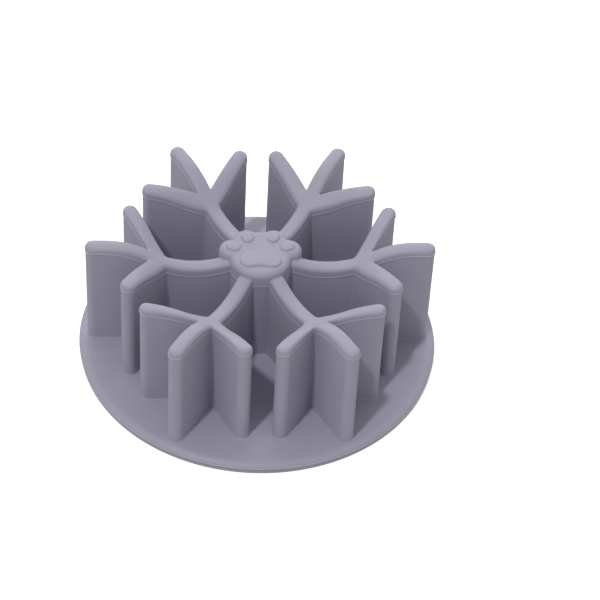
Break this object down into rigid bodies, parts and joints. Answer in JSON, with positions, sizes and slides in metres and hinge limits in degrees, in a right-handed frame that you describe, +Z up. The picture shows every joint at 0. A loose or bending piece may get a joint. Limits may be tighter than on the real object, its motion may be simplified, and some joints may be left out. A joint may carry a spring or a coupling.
{
  "type": "slow feeder bowl insert",
  "caption": "Flat silicone disc with branching upright walls round a paw-capped post, laid in a pet's bowl so that the animal eats slowly.",
  "frame": {"origin": "centre of the round underside, on the face that the object rests on", "axes": "+Z up out of the base disc, +Y in the direction in which the toes of the paw point, +X to the right"},
  "size_m": [0.12, 0.12, 0.0444],
  "materials": {
    "silicone": "matte moulded silicone, lilac grey",
    "silicone_pads": "matte moulded silicone, lilac grey, slightly smoother on the raised pads",
    "silicone_underside": "smooth moulded silicone, lilac grey, slightly glossier so that it seals"
  },
  "bodies": {
    "root": {"base_disc": "silicone", "suction_cups": "silicone_underside", "hub_post": "silicone", "paw_cap": "silicone", "palm_pad": "silicone_pads", "toe_pad_outer_left": "silicone_pads", "toe_pad_inner_left": "silicone_pads", "toe_pad_inner_right": "silicone_pads", "toe_pad_outer_right": "silicone_pads", "spoke_right": "silicone", "spoke_back_right": "silicone", "spoke_back_left": "silicone", "spoke_left": "silicone", "spoke_front_left": "silicone", "spoke_front_right": "silicone", "middle_arm_right": "silicone", "middle_arm_back_right": "silicone", "middle_arm_back_left": "silicone", "middle_arm_left": "silicone", "middle_arm_front_left": "silicone", "middle_arm_front_right": "silicone", "side_arm_right_rear": "silicone", "side_arm_right_front": "silicone", "side_arm_back_right_inner": "silicone", "side_arm_back_right_outer": "silicone", "side_arm_back_left_inner": "silicone", "side_arm_back_left_outer": "silicone", "side_arm_left_rear": "silicone", "side_arm_left_front": "silicone", "side_arm_front_left_inner": "silicone", "side_arm_front_left_outer": "silicone", "side_arm_front_right_inner": "silicone", "side_arm_front_right_outer": "silicone"}
  },
  "joints": []
}
